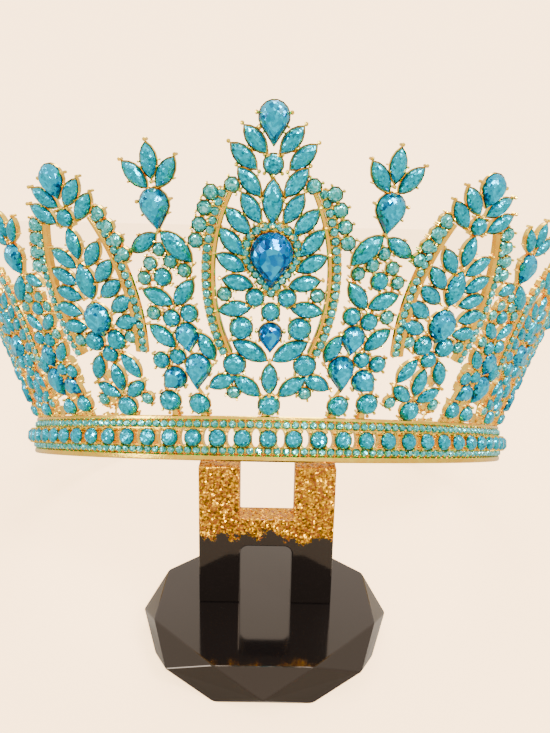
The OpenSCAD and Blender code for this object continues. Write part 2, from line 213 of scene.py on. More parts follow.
class CrownSizes(bpy.types.PropertyGroup):
    """Sizes of the band and the panels, the same as the solid model's."""

    band_d: metres("Band", "Inner diameter of the band", 0.155)
    band_h: metres("Band Height", "Height of the band", 0.011)
    rail_t: metres("Rail", "Radial thickness of the rails", 0.0025)
    rail_h: metres("Foot Rail", "Height of the lower rail", 0.0016)
    top_rail_h: metres("Top Rail", "Height of the upper rail", 0.0011)
    arc_end: degrees("Arc End", "Angle from the front to each rear end", 137)
    slots: IntProperty(
        name="Slots", description="Number of slots through the band", default=62, min=40, max=66)
    centre_h: metres("Centre", "Height of the centre panel", 0.0715)
    fleur_h: metres("Fleur", "Height of the first fleurs", 0.0645)
    arch_h: metres("Arch", "Height of the first arches", 0.0635)
    fleur_2_h: metres("Fleur 2", "Height of the second fleurs", 0.057)
    arch_2_h: metres("Arch 2", "Height of the second arches", 0.0535)
    fleur_3_h: metres("Fleur 3", "Height of the third fleurs", 0.0485)
    rear_h: metres("Rear", "Height of the first rear panels", 0.039)
    rear_drop: metres("Rear Drop", "Height that each further rear panel loses", 0.0035)
    lean_front: degrees("Front Lean", "Lean of the front panels", 31.5)
    lean_rear: degrees("Rear Lean", "Lean of the rear panels", 20)


class SettingSizes(bpy.types.PropertyGroup):
    """Sizes of the stones' cups, prongs and links, and of the small stones."""

    cup_wall: metres("Cup Wall", "Wall of a cup", 0.00023)
    cup_depth: metres("Cup Depth", "Depth of a cup", 0.0013)
    cup_lip: metres("Cup Lip", "Height of a cup's lip", 0.00022)
    bead_r: metres("Bead", "Radius of a prong's bead", 0.00042)
    bridge_r: metres("Bridge", "Radius of a bridge", 0.0005)
    stone_grow: FloatProperty(
        name="Stone Growth", description="Panel stones against their pattern", default=1.035)
    mid_stone: metres("Band Stone", "Stones of the middle row", 0.0042)
    row_stone: metres("Row Stone", "Small stones of the band", 0.00204)
    row_pitch: metres("Row Pitch", "Pitch of the small stones", 0.0022)
    pave_stone: metres("Arch Stone", "Small stones of an arch", 0.00198)
    pave_pitch: metres("Arch Pitch", "Pitch of an arch's stones", 0.00202)
    halo_stone: metres("Halo Stone", "Stones of the halo", 0.002)
    halo_gap: metres("Halo Gap", "From the pear to the halo", 0.00105)
    slot_w: metres("Slot Width", "Width of a slot inside", 0.002)
    slot_h: metres("Slot Height", "Height of a slot inside", 0.0043)
    halo_count: IntProperty(
        name="Halo Count", description="Stones in the halo", default=22, min=12, max=40)


class CrownColours(bpy.types.PropertyGroup):
    """Colours of the metal, the stones, the stand and the floor."""

    gold: colour("Gold", "Plated metal", (1.0, 0.7, 0.09))
    # Deep gold: a tone in random patches of the metal, and painted shade that darkens the arch bars.
    gold_deep_and_shade: colour("Deep Gold", "Metal in its recesses", (0.95, 0.47, 0.02))
    # The dark and light colours of each stone are painted shade and painted light: shaded and lit copies
    # of its middle colour, spread over its facets.
    aqua_dark: colour("Aqua Dark", "Dark facets of aqua stones", (0.0, 0.18, 0.28))
    aqua: colour("Aqua", "Most facets of aqua stones", (0.0, 0.38, 0.53))
    aqua_light: colour("Aqua Light", "Bright facets of aqua stones", (0.0, 0.6, 0.84))
    azure_dark: colour("Azure Dark", "Dark facets of azure stones", (0.0, 0.1, 0.25))
    azure: colour("Azure", "Most facets of azure stones", (0.0, 0.38, 0.6))
    azure_light: colour("Azure Light", "Bright facets of azure stones", (0.0, 0.58, 0.88))
    blue_dark: colour("Blue Dark", "Dark facets of blue stones", (0.0, 0.05, 0.22))
    blue: colour("Blue", "Most facets of blue stones", (0.0, 0.17, 0.5))
    blue_light: colour("Blue Light", "Bright facets of blue stones", (0.0, 0.41, 0.74))
    pale_dark: colour("Pale Dark", "Dark facets of pale stones", (0.0, 0.16, 0.17))
    pale: colour("Pale", "Most facets of pale stones", (0.05, 0.48, 0.48))
    pale_light: colour("Pale Light", "Bright facets of pale stones", (0.28, 0.84, 0.86))
    resin: colour("Resin", "Black resin", (0.005, 0.004, 0.004))
    flake: colour("Flakes", "Gold flakes in the resin", (1.0, 0.5, 0.01))
    flake_dark: colour("Dark Flakes", "Resin between the flakes", (0.22, 0.05, 0.0))
    floor: colour("Floor", "Floor and backdrop", (0.42, 0.38, 0.33))


def plain(value):
    """A colour as the four numbers that a node's socket holds."""
    return (*value, 1.0)


def set_plain(node, values):
    """Sets a node's own sockets by name."""
    for label, value in values.items():
        node.inputs[label].default_value = value


def link_all(tree, sockets, sources):
    """Links a source to each named socket."""
    for label, source in sources.items():
        tree.links.new(source, sockets[label])


def feed(tree, socket, value):
    """Links another node's socket to this one, or sets it to a plain value."""
    if isinstance(value, bpy.types.NodeSocket):
        tree.links.new(value, socket)
    else:
        socket.default_value = value


def mixed(tree, factor, a, b):
    """A colour mix of a and b, each a socket or a plain colour."""
    node = tree.nodes.new("ShaderNodeMix")
    node.data_type = "RGBA"
    factor_in, a_in, b_in, colour_out = 0, 6, 7, 2
    for i, value in ((factor_in, factor), (a_in, a), (b_in, b)):
        feed(tree, node.inputs[i], value)
    return node.outputs[colour_out]


def calculated(tree, operation, *values):
    """One Math node over sockets or numbers."""
    node = tree.nodes.new("ShaderNodeMath")
    node.operation = operation
    for socket, value in zip(node.inputs, values):
        feed(tree, socket, value)
    return node.outputs[0]


def vector_math(tree, operation, first, second=None, scale=None):
    """One Vector Math node over sockets or plain vectors."""
    node = tree.nodes.new("ShaderNodeVectorMath")
    node.operation = operation
    for key, value in ((0, first), (1, second), ("Scale", scale)):
        if value is not None:
            feed(tree, node.inputs[key], value)
    return node.outputs[0]


def stepped(tree, value, low, high, steep="SMOOTHSTEP"):
    """A value mapped from low..high to 0..1."""
    node = tree.nodes.new("ShaderNodeMapRange")
    node.interpolation_type = steep
    tree.links.new(value, node.inputs["Value"])
    set_plain(node, {"From Min": low, "From Max": high})
    return node.outputs["Result"]


def split(tree, kind, value):
    """The three outputs of a Separate Color or a Separate XYZ node."""
    node = tree.nodes.new("ShaderNodeSeparate" + kind)
    tree.links.new(value, node.inputs[0])
    return node.outputs


def object_place(tree):
    """The Object coordinates."""
    return tree.nodes.new("ShaderNodeTexCoord").outputs["Object"]


def noise(tree, scale, detail):
    """Soft noise on the Object coordinates, from 0 to 1."""
    node = tree.nodes.new("ShaderNodeTexNoise")
    tree.links.new(object_place(tree), node.inputs["Vector"])
    feed(tree, node.inputs["Scale"], scale)
    node.inputs["Detail"].default_value = detail
    return node.outputs[0]


def cell_colour(tree, scale):
    """A random colour for each Voronoi cell on the Object coordinates."""
    cells = tree.nodes.new("ShaderNodeTexVoronoi")
    tree.links.new(object_place(tree), cells.inputs["Vector"])
    tree.links.new(scale, cells.inputs["Scale"])
    return cells.outputs["Color"]


def tilted_normal(tree, tone, amount):
    """The surface's normal tipped by each cell's own colour."""
    away = vector_math(tree, "SUBTRACT", tone, (0.5, 0.5, 0.5))
    tip = vector_math(tree, "SCALE", away, scale=amount)
    normal = tree.nodes.new("ShaderNodeNewGeometry").outputs["Normal"]
    return vector_math(tree, "NORMALIZE", vector_math(tree, "ADD", normal, tip))


def new_group(name, inputs, outputs):
    """A shader node group with named sockets: (tree, its inputs, its outputs)."""
    tree = bpy.data.node_groups.new(name, "ShaderNodeTree")
    for sockets, way in ((inputs, "INPUT"), (outputs, "OUTPUT")):
        for label, kind in sockets.items():
            tree.interface.new_socket(label, in_out=way, socket_type=kind)
    return tree, tree.nodes.new("NodeGroupInput").outputs, tree.nodes.new("NodeGroupOutput").inputs


def facet_group():
    """Foiled facets with painted shade and painted light: every real facet and the small ones behind it
    get a painted shade from dark to light.
    """
    tree, given, put = new_group(
        "Foiled Facets Painted Light",
        {"Dark": COLOUR, "Middle": COLOUR, "Light": COLOUR,
         "Facet": FLOAT, "Scale": FLOAT, "Tilt": FLOAT},
        {"Color": COLOUR, "Normal": VECTOR})
    facet_share, cell_share = 0.42, 0.62
    dark_end, light_start = (0.16, 0.4), (0.62, 0.86)
    cell = cell_colour(tree, given["Scale"])
    shade = calculated(
        tree, "ADD",
        calculated(tree, "MULTIPLY", given["Facet"], facet_share),
        calculated(tree, "MULTIPLY", split(tree, "Color", cell)[0], cell_share))
    # Painted shade and painted light: low shades mix towards the dark colour, high ones towards the light
    # colour.
    low = mixed(tree, stepped(tree, shade, *dark_end), given["Dark"], given["Middle"])
    full = mixed(tree, stepped(tree, shade, *light_start), low, given["Light"])
    link_all(tree, put, {"Color": full, "Normal": tilted_normal(tree, cell, given["Tilt"])})


def cast_group():
    """Plated casting: a warm tone that deepens in random patches, painted shade that darkens marked faces,
    and soft pits and wear.
    """
    tree, given, put = new_group(
        "Plated Casting",
        {"Color": COLOUR, "Deep": COLOUR, "Scale": FLOAT, "Deepen": FLOAT},
        {"Color": COLOUR, "Roughness": FLOAT, "Height": FLOAT})
    fine_against_patches = 4.0
    patch_share, bar_shade_share = 0.55, 0.4
    rough_spread, rough_least = 0.22, 0.08
    patches = noise(tree, given["Scale"], 4)
    fine = noise(tree, calculated(tree, "MULTIPLY", given["Scale"], fine_against_patches), 2)
    # Painted shade: faces marked with the bar shade attribute take more of the deep tone.
    bar_shade = calculated(tree, "MULTIPLY", given["Deepen"], bar_shade_share)
    tone = stepped(tree, patches, 0.38, 0.66)
    share = calculated(tree, "MULTIPLY_ADD", tone, patch_share, bar_shade)
    link_all(tree, put, {
        "Color": mixed(tree, share, given["Color"], given["Deep"]),
        "Roughness": calculated(tree, "MULTIPLY_ADD", fine, rough_spread, rough_least),
        "Height": fine})


def flake_group():
    """Metal flakes set in resin: cells of random tone and tilt, and where they lie."""
    tree, given, put = new_group(
        "Resin Flakes",
        {"Flake": COLOUR, "Between": COLOUR, "Resin": COLOUR,
         "Scale": FLOAT, "Level": FLOAT, "Ragged": FLOAT},
        {"Color": COLOUR, "Metallic": FLOAT, "Roughness": FLOAT, "Normal": VECTOR})
    ragged_scale, flake_fall, fade = 260, 0.0016, 0.0004
    metal_share, flake_rough, resin_rough, tip = 0.9, 0.25, 0.08, 1.5
    cell = cell_colour(tree, given["Scale"])
    cover, shade, fall = split(tree, "Color", cell)[:3]
    height = split(tree, "XYZ", object_place(tree))[2]
    wander = calculated(tree, "SUBTRACT", noise(tree, ragged_scale, 3), 0.5)
    drift = calculated(tree, "MULTIPLY", wander, given["Ragged"])
    above = calculated(
        tree, "SUBTRACT",
        calculated(tree, "ADD", height, drift),
        calculated(tree, "MULTIPLY_ADD", fall, flake_fall, given["Level"]))
    settled = stepped(tree, above, 0.0, fade, "LINEAR")
    seen = stepped(tree, cover, 0.18, 0.34)
    mask = calculated(tree, "MULTIPLY", settled, seen)
    tone = mixed(tree, stepped(tree, shade, 0.0, 0.65, "LINEAR"), given["Between"], given["Flake"])
    inside = mixed(tree, seen, given["Between"], tone)
    link_all(tree, put, {
        "Color": mixed(tree, settled, given["Resin"], inside),
        "Metallic": calculated(tree, "MULTIPLY", mask, metal_share),
        "Roughness": calculated(tree, "MULTIPLY_ADD", mask, flake_rough, resin_rough),
        "Normal": tilted_normal(tree, cell, calculated(tree, "MULTIPLY", mask, tip))})


def new_material(name, group, values):
    """A material with one placed group in it: (tree, placed group, shader)."""
    material = bpy.data.materials.new(name)
    material.use_nodes = True
    tree = material.node_tree
    placed = tree.nodes.new("ShaderNodeGroup")
    placed.node_tree = bpy.data.node_groups[group]
    set_plain(placed, values)
    return tree, placed, tree.nodes["Principled BSDF"]


def carried(tree, name):
    """The value of a mesh attribute."""
    node = tree.nodes.new("ShaderNodeAttribute")
    node.attribute_name = name
    return node.outputs["Fac"]


def stone_material(name, painted_shades, scale, tilt):
    """A foiled stone, whose facets carry a painted shade in the facet attribute, from painted shade to
    painted light.
    """
    dark, middle, light = map(plain, painted_shades)
    tree, placed, shader = new_material(
        name, "Foiled Facets Painted Light",
        {"Dark": dark, "Middle": middle, "Light": light, "Scale": scale, "Tilt": tilt})
    out = placed.outputs
    tree.links.new(carried(tree, "facet"), placed.inputs["Facet"])
    link_all(tree, shader.inputs, {"Base Color": out["Color"], "Normal": out["Normal"]})
    set_plain(shader, {
        "Metallic": 0.8, "Roughness": 0.16, "Specular IOR Level": 0.1,
        "Coat Weight": 0.14, "Coat Roughness": 0.02})


def gold_material(name, colours, scale):
    """Polished plated casting metal, with painted shade on the faces marked as arch bars."""
    tree, placed, shader = new_material(
        name, "Plated Casting",
        {"Color": plain(colours.gold), "Deep": plain(colours.gold_deep_and_shade), "Scale": scale})
    out = placed.outputs
    tree.links.new(carried(tree, "deepen"), placed.inputs["Deepen"])
    bump = tree.nodes.new("ShaderNodeBump")
    set_plain(bump, {"Strength": 0.5, "Distance": 0.0001})
    tree.links.new(out["Height"], bump.inputs["Height"])
    link_all(tree, shader.inputs, {
        "Base Color": out["Color"], "Roughness": out["Roughness"], "Normal": bump.outputs["Normal"]})
    set_plain(shader, {"Metallic": 1.0})


def resin_material(name, colours, level):
    """Glossy cast resin, with gold flakes above a ragged level."""
    tree, placed, shader = new_material(
        name, "Resin Flakes",
        {"Flake": plain(colours.flake), "Between": plain(colours.flake_dark),
         "Resin": plain(colours.resin), "Scale": 2500.0, "Level": level, "Ragged": 0.012})
    out = placed.outputs
    link_all(tree, shader.inputs, {
        "Base Color": out["Color"], "Metallic": out["Metallic"],
        "Roughness": out["Roughness"], "Normal": out["Normal"]})
    set_plain(shader, {"Specular IOR Level": 0.62, "Specular Tint": (1.0, 0.82, 0.66, 1)})


def make_materials(colours):
    """Every material of the crown and its stand."""
    facet_group()
    cast_group()
    flake_group()
    for stone, scale, tilt in (
        ("aqua", 2100.0, 0.45), ("azure", 1500.0, 0.4), ("blue", 800.0, 0.4), ("pale", 2300.0, 0.5),
    ):
        painted_shades = [getattr(colours, stone + end) for end in ("_dark", "", "_light")]
        stone_material("cut_" + stone, painted_shades, scale, tilt)
    gold_material("plated_gold", colours, 420.0)
    flakes_start, above_all = PLATE_BOX[0].z + 0.0172, 1.0
    resin_material("flaked_resin", colours, flakes_start)
    resin_material("plain_resin", colours, above_all)


def lens_outline(length, width, n):
    """A pointed oval: two arcs with n steps each."""
    radius = (length * length + width * width) / (4 * width)
    reach = math.asin(length / 2 / radius)
    points = []
    for side in (1, -1):
        for i in range(n):
            turn = side * (reach - 2 * reach * i / n)
            points.append((radius * math.sin(turn), side * (radius * math.cos(turn) - radius + width / 2)))
    return points


def pear_outline(length, width, n):
    """A drop: its point at +x, and a round end with n steps."""
    radius = width / 2
    middle = radius - length / 2
    flank = math.acos(radius / (length - radius))
    points = [(length / 2, 0)]
    for i in range(n + 1):
        turn = flank + (2 * math.pi - 2 * flank) * i / n
        points.append((middle + radius * math.cos(turn), radius * math.sin(turn)))
    return points


def outline(kind, length, width):
    """A stone's outline round its middle, along its own long axis."""
    sides = OUTLINE_SIDES[kind]
    if kind == MARQUISE:
        return lens_outline(length, width, sides)
    if kind == PEAR:
        return pear_outline(length, width, sides)
    steps = [2 * math.pi * (i + 0.5) / sides for i in range(sides)]
    return [(length / 2 * math.cos(t), width / 2 * math.sin(t)) for t in steps]


def ring(bm, points, share, z):
    """Vertices on an outline shrunk to a share of its size."""
    return [bm.verts.new((x * share, y * share, z)) for x, y in points]


def verts_of(geometry):
    """The vertices in a bmesh operator's result."""
    return [g for g in geometry if isinstance(g, bmesh.types.BMVert)]


def cut_stone(kind, length, width):
    """A cut stone as a mesh: a girdle, kites and stars round a flat table."""
    bm = bmesh.new()
    points = outline(kind, length, width)
    halves = [
        ((a[0] + b[0]) / 2, (a[1] + b[1]) / 2)
        for a, b in zip(points, points[1:] + points[:1])
    ]
    corners = []
    for around, share, height in (
        (points, 1, 0), (points, 1, 0.08), (halves, 0.86, 0.26), (points, 0.56, 0.38),
    ):
        corners += ring(bm, around, share, height * width)
    hull = bmesh.ops.convex_hull(bm, input=corners, use_existing_faces=False)
    bmesh.ops.delete(bm, geom=verts_of(hull["geom_interior"]), context="VERTS")
    bmesh.ops.dissolve_limit(bm, angle_limit=math.radians(2), verts=bm.verts, edges=bm.edges)
    bmesh.ops.recalc_face_normals(bm, faces=bm.faces)
    table = max(bm.faces, key=lambda face: face.calc_center_median().z)
    bmesh.ops.poke(bm, faces=[table])
    return as_mesh("cut_" + kind, bm)


def as_mesh(name, bm):
    """The bmesh as a new mesh, freed."""
    mesh = bpy.data.meshes.new(name)
    bm.to_mesh(mesh)
    bm.free()
    return mesh


def raised(bm, face, share, lift):
    """Extrudes a flat face along z, scales the new one about its middle and returns it."""
    grown = bmesh.ops.extrude_face_region(bm, geom=[face])["geom"]
    verts = verts_of(grown)
    bmesh.ops.scale(bm, vec=(share, share, 1), verts=verts)
    bmesh.ops.translate(bm, vec=(0, 0, lift), verts=verts)
    return next(g for g in grown if isinstance(g, bmesh.types.BMFace))


def bead(bm, place, radius):
    """A small round-ended bead."""
    bmesh.ops.create_icosphere(bm, subdivisions=1, radius=radius, matrix=Matrix.Translation(place))


def rod(bm, start, end, radius, sides=6):
    """A straight rod between two points."""
    way = end - start
    turn = way.to_track_quat("Z", "Y").to_matrix().to_4x4()
    bmesh.ops.create_cone(
        bm, cap_ends=True, segments=sides, radius1=radius, radius2=radius, depth=way.length,
        matrix=Matrix.Translation((start + end) / 2) @ turn)


# Each prong is the outline's point that it holds, and the ball's size against a bead's.
PRONGS = {
    ROUND: ((1, 1.1), (4, 1.1), (7, 1.1), (10, 1.1)),
    SMALL: ((0, 0.85), (2, 0.85), (4, 0.85), (6, 0.85)),
    MARQUISE: ((0, 1.2), (6, 1.2), (3, 0.7), (9, 0.7)),
    PEAR: ((3, 1.2), (10, 1.2), (1, 0.8), (12, 0.8)),
}


def cup(kind, length, width, sizes, depth=None):
    """A stone's cup with its prongs, as a mesh whose seat is at z = 0."""
    bm = bmesh.new()
    wall, lip = sizes.cup_wall, sizes.cup_lip
    depth = depth or sizes.cup_depth
    taper, tip_wall, rim_share, seat_drop = 0.84, 1.6, 0.8, 0.0001
    around = outline(
        kind, length + 2 * wall * (tip_wall if kind == MARQUISE else 1), width + 2 * wall)
    foot = bm.faces.new(ring(bm, around, taper, -depth))
    flared, upright = depth * 0.6, depth * 0.4
    side = raised(bm, foot, 1 / taper, flared)
    rim = raised(bm, side, 1, upright + lip)
    bmesh.ops.inset_region(bm, faces=[rim], thickness=wall * rim_share, use_even_offset=True)
    bmesh.ops.translate(bm, vec=(0, 0, -lip - seat_drop), verts=rim.verts)
    bmesh.ops.recalc_face_normals(bm, faces=bm.faces)
    stem_share, stem_depth, hold = 0.7, 0.8, 0.04
    for i, share in PRONGS[kind]:
        x, y = around[i]
        size = sizes.bead_r * share
        out = 1 + size * stem_share / math.hypot(x, y)
        top = Vector((x * out, y * out, lip + hold * width))
        rod(bm, Vector((x * out, y * out, -depth * stem_depth)), top, size * stem_share, sides=5)
        bead(bm, top, size)
    return as_mesh("cup_" + kind, bm)


class Parts:
    """Meshes made once for each kind and size, and put in many places."""

    def __init__(self, make):
        self.make = make
        self.kept = {}

    def get(self, *key):
        """The mesh of this kind and size, made on its first use."""
        rounded = tuple(round(k, 6) if isinstance(k, float) else k for k in key)
        if rounded not in self.kept:
            self.kept[rounded] = self.make(*rounded)
        return self.kept[rounded]

    def drop(self):
        """Removes the meshes."""
        for mesh in self.kept.values():
            bpy.data.meshes.remove(mesh)
        self.kept.clear()


def put(bm, mesh, place):
    """Adds a copy of a mesh at a place."""
    copy = mesh.copy()
    copy.transform(place)
    bm.from_mesh(copy)
    bpy.data.meshes.remove(copy)


def new_piece(name, mesh, material, nodes=(), smooth=None):
    """A finished piece that rides on the crown's one body and stands for its nodes."""
    mesh.name = name
    if smooth is not None:
        mesh.polygons.foreach_set("use_smooth", [True] * len(mesh.polygons))
        mesh.set_sharp_from_angle(angle=math.radians(smooth))
    mesh.materials.append(bpy.data.materials[material])
    piece = bpy.data.objects.new(name, mesh)
    bpy.context.scene.collection.objects.link(piece)
    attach(piece, "root")
    if nodes:
        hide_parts(*nodes)


def painted_facet_shades(mesh, kind, draw):
    """A painted shade for each facet: painted shade at the girdle, mixed on the crown, painted light on
    the table.
    """
    girdle_slope, table_slope, wedge_slope = 0.3, 0.99, 0.3
    pear_crown, pear_painted_wedge, pear_spread, pear_table = 0.65, 0.1, 0.5, 0.6
    glow = draw.uniform(-0.1, 0.1)
    painted_shades = []
    for facet in mesh.polygons:
        crown, table = draw.uniform(0.2, 0.9), draw.uniform(0.3, 0.85)
        if kind == PEAR:
            x, y = facet.center.x, facet.center.y
            crown *= pear_crown
            # On a pear, a dark painted wedge of shade runs from the table's middle towards the point.
            table = pear_painted_wedge if x > 0 and abs(y) < x * wedge_slope else table * pear_spread + pear_table
        if facet.normal.z < girdle_slope:
            painted_shades.append(0.0)
        else:
            painted_shades.append((table if facet.normal.z > table_slope else crown) + glow)
    return painted_shades


def gem_piece(name, gems, material, seed, nodes=()):
    """Many cut stones as one piece, each facet with its own painted shade."""
    cuts = Parts(cut_stone)
    bm = bmesh.new()
    painted_shades = []
    draw = random.Random(seed)
    for stone, place in gems:
        mesh = cuts.get(stone.kind, stone.length, stone.width)
        put(bm, mesh, place)
        painted_shades += painted_facet_shades(mesh, stone.kind, draw)
    cuts.drop()
    mesh = as_mesh(name, bm)
    mesh.attributes.new("facet", "FLOAT", "FACE").data.foreach_set("value", painted_shades)
    new_piece(name, mesh, material, nodes)


def worn(sizes):
    """The matrix that lays the whole crown on the stand and the table."""
    band_r = sizes.band_d / 2
    plate_half = (PLATE_BOX[1].x - PLATE_BOX[0].x) / 2
    rest_z = PLATE_BOX[1].z + GAP
    rest_y = math.sqrt(band_r ** 2 - plate_half ** 2)
    rear_y = -(band_r + sizes.rail_t) * math.cos(sizes.arc_end)
    tilt = math.asin(rest_z / (rest_y + rear_y))
    plate_y = (PLATE_BOX[0].y + PLATE_BOX[1].y) / 2
    return (
        Matrix.Translation((0, plate_y, rest_z))
        @ Matrix.Rotation(-tilt, 4, "X")
        @ Matrix.Translation((0, rest_y, 0))
    )


def on_ring(angle, radius, z, lean=0.0):
    """A place on the crown: x runs round it, y up and z outwards."""
    return (
        Matrix.Rotation(angle, 4, "Z")
        @ Matrix.Translation((0, -radius, z))
        @ Matrix.Rotation(math.pi / 2 + lean, 4, "X")
    )


def cell_of(sizes):
    """The radius at which panels stand, and the width of one panel's cell there."""
    radius = sizes.band_d / 2 + sizes.rail_t * STAND_SHARE
    return radius, 2 * radius * math.sin(CELL_ANGLE / 2)


def mirrored(rows):
    """A pattern's rows on the other side of its axis."""
    return [(-x, s, length, width, 180 - turn, kind) for x, s, length, width, turn, kind in rows]


def wide_of(cell, height, cells):
    """How far a hundredth across a cell reaches in a panel of this height."""
    return cell * min(1, math.sqrt(height / cells / cell)) / 100


def stones_of(rows, cell, height, cells, grow):
    """A pattern's rows as stones with real sizes."""
    unit = min(cell, height / cells) / 100 * grow
    wide = wide_of(cell, height, cells)
    return [
        Stone(kind, x * wide, s * height / 100, length * unit, width * unit, math.radians(turn))
        for x, s, length, width, turn, kind in rows
    ]


def all_panels(sizes, settings):
    """Every panel with its place and stones, from the front to the back."""
    radius, cell = cell_of(sizes)
    crown = worn(sizes)
    drop = sizes.lean_front - sizes.lean_rear
    fleur = {-1: FLEUR_ROWS, 1: mirrored(FLEUR_ROWS)}
    arch = ARCH_AXIS + ARCH_PAIRS + mirrored(ARCH_PAIRS)
    rear = REAR_AXIS + REAR_PAIRS + mirrored(REAR_PAIRS)
    centre = CENTRE_AXIS + CENTRE_PAIRS + mirrored(CENTRE_PAIRS)
    panels = []

    def add(name, angle, lean, rows, height, cells, strip=None):
        place = crown @ on_ring(angle, radius, sizes.band_h + GAP, lean)
        stones = stones_of(rows, cell, height, cells, settings.stone_grow)
        panels.append(Panel(name, place, stones, height, cells, strip))

    add("centre", 0.0, sizes.lean_front, centre, sizes.centre_h, CENTRE_CELLS, CENTRE_ARCH)
    first_rear, rear_step = 82, 13.6
    for side, word in ((-1, "left"), (1, "right")):
        for name, at, lean, rows, height, cells, strip in (
            ("fleur_1", 14.5, 0.27, fleur[side], sizes.fleur_h, FLEUR_CELLS, None),
            ("arch_1", 26.4, 0, arch, sizes.arch_h, ARCH_CELLS, SIDE_ARCH),
            ("fleur_2", 40, 0.21, fleur[-side], sizes.fleur_2_h, FLEUR_CELLS, None),
            ("arch_2", 53.7, 0.42, arch, sizes.arch_2_h, ARCH_CELLS, SIDE_ARCH),
            ("fleur_3", 68.2, 0.46, fleur[side], sizes.fleur_3_h, FLEUR_CELLS, None),
        ):
            add(f"{name}_{word}", side * math.radians(at), sizes.lean_front - drop * lean,
                rows, height, cells, strip)
        for i in range(4):
            add(f"rear_{i + 1}_{word}", side * math.radians(first_rear + rear_step * i),
                sizes.lean_rear, rear, sizes.rear_h - sizes.rear_drop * i, REAR_CELLS)
    return panels


def stone_place(panel, stone, lift=0.0):
    """Where a stone of a panel is."""
    return panel.place @ Matrix.Translation((stone.x, stone.y, lift)) @ Matrix.Rotation(stone.turn, 4, "Z")


def arch_strip(panel, sizes):
    """The arc of an arch: (middle x, middle y, radius, low angle, high angle) on its right side."""
    wide = wide_of(cell_of(sizes)[1], panel.height, panel.cells)
    a = panel.arch
    radius = a.radius * wide
    x, y = a.out * wide - radius, a.waist * panel.height / 100
    low = math.asin((a.low * panel.height / 100 - y) / radius)
    high = math.asin((a.high * panel.height / 100 - y) / radius)
    return x, y, radius, low, high


def pave_stones(panel, sizes, settings):
    """The small stones that follow both sides of an arch."""
    x, y, radius, low, high = arch_strip(panel, sizes)
    track = radius + PAVE_OUT
    count = int((high - low) * track / settings.pave_pitch)
    stones = []
    for side in (1, -1):
        for i in range(count):
            t = low + (high - low) * (i + 0.5) / count
            stones.append(Stone(
                SMALL, side * (x + track * math.cos(t)), y + track * math.sin(t),
                settings.pave_stone, settings.pave_stone, side * t))
    return stones


def along(points, count):
    """Evenly spaced points on a closed outline."""
    legs = list(zip(points, points[1:] + points[:1]))
    lengths = [math.dist(a, b) for a, b in legs]
    step = sum(lengths) / count
    found, walked, target = [], 0.0, 0.0
    for (a, b), length in zip(legs, lengths):
        while target < walked + length and len(found) < count:
            t = (target - walked) / length
            found.append((a[0] + (b[0] - a[0]) * t, a[1] + (b[1] - a[1]) * t))
            target += step
        walked += length
    return found


def halo_stones(panel, settings):
    """The ring of small stones round the centre panel's largest pear."""
    pear = max((s for s in panel.stones if s.kind == PEAR), key=lambda s: s.length)
    out, tip_share, track_sides = 2 * settings.halo_gap, 1.15, 24
    track = pear_outline(pear.length + out * tip_share, pear.width + out, track_sides)
    turn = Matrix.Rotation(pear.turn, 2)
    size = settings.halo_stone
    stones = []
    for point in along(track, settings.halo_count):
        x, y = turn @ Vector(point)
        stones.append(Stone(SMALL, pear.x + x, pear.y + y, size, size, 0.0))
    return stones


def spots(stone):
    """A stone's outline as points in its panel."""
    c, s = math.cos(stone.turn), math.sin(stone.turn)
    return [
        (stone.x + x * c - y * s, stone.y + x * s + y * c)
        for x, y in outline(stone.kind, stone.length, stone.width)
    ]


def bridges(stones, close=0.0011, reach=0.004):
    """Short links that join neighbouring stones: nearest points, so that all hold together."""
    shapes = [spots(s) for s in stones]
    links = []
    for i, a in enumerate(stones):
        for j in range(i + 1, len(stones)):
            b = stones[j]
            if math.hypot(a.x - b.x, a.y - b.y) > (a.length + b.length) / 2 + reach:
                continue
            gap, p, q = min((math.dist(p, q), p, q) for p in shapes[i] for q in shapes[j])
            links.append((gap, i, j, p, q))
    links.sort(key=lambda link: link[0])
    group = list(range(len(stones)))
    kept = []
    for gap, i, j, p, q in links:
        if group[i] != group[j] or gap < close:
            kept.append((p, q))
            old, new = group[j], group[i]
            group = [new if g == old else g for g in group]
    return kept


# Links and feet lie this share of a cup's depth behind the seats.
LINK_DEPTH = 0.45


def bridge(bm, panel, p, q, settings):
    """One link, sunk a little into what it joins."""
    sink, same = 0.0006, 1e-6
    a, b = Vector((*p, 0)), Vector((*q, 0))
    way = (b - a).normalized() if (b - a).length > same else Vector((1, 0, 0))
    z = Vector((0, 0, -settings.cup_depth * LINK_DEPTH))
    rod(bm, panel.place @ (a - way * sink + z), panel.place @ (b + way * sink + z), settings.bridge_r)


def foot(bm, panel, stone, low_spot, settings):
    """Where a lowest stone is soldered to the rail: a flared stub between two balls."""
    x, y = low_spot
    depth = settings.cup_depth * LINK_DEPTH
    base, neck, past = settings.bridge_r * 2.6, settings.bridge_r * 1.7, 0.0012
    stub = Matrix.Translation((x, (y - GAP) / 2, -depth)) @ Matrix.Rotation(-math.pi / 2, 4, "X")
    bmesh.ops.create_cone(
        bm, cap_ends=True, segments=8, radius1=base, radius2=neck, depth=y + past,
        matrix=panel.place @ stub)
    apart, ball = stone.width * 0.3, settings.bead_r * 1.25
    for side in (-1, 1):
        spot = Vector((x + side * apart, settings.bead_r * 0.9, -depth * 0.5))
        bead(bm, panel.place @ spot, ball)


